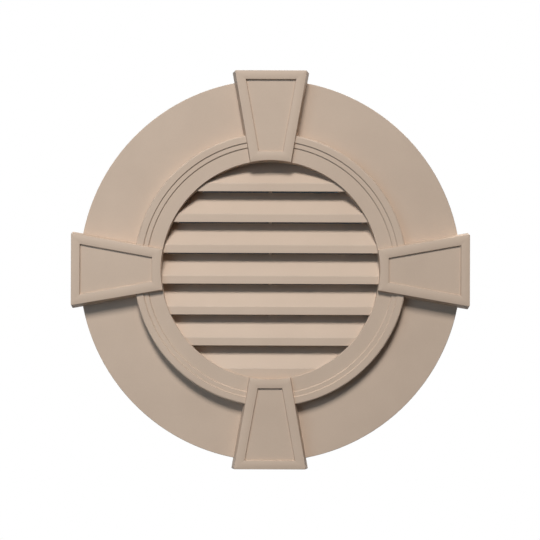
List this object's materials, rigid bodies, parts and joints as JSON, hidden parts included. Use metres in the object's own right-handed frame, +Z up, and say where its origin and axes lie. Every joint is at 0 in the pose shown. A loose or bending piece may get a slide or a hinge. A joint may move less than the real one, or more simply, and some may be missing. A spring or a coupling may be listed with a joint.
{
  "type": "gable vent",
  "caption": "Round louvred gable vent with a flat flange, a stepped ring, keystones on its axes, a collar into the wall and an insect screen behind the slats.",
  "frame": {"origin": "centre of the vent, on the face of the wall that the flange's back lies against", "axes": "+Z up, the front faces -Y, +Y goes into the wall along the collar"},
  "size_m": [0.7544, 0.048, 0.7544],
  "materials": {
    "vent_plastic": "matte, solid-coloured clay tan, very fine moulded texture",
    "screen_mesh": "charcoal coated glass-fibre mesh"
  },
  "bodies": {
    "root": {"vent_body": "vent_plastic", "insect_screen": "screen_mesh"}
  },
  "joints": []
}
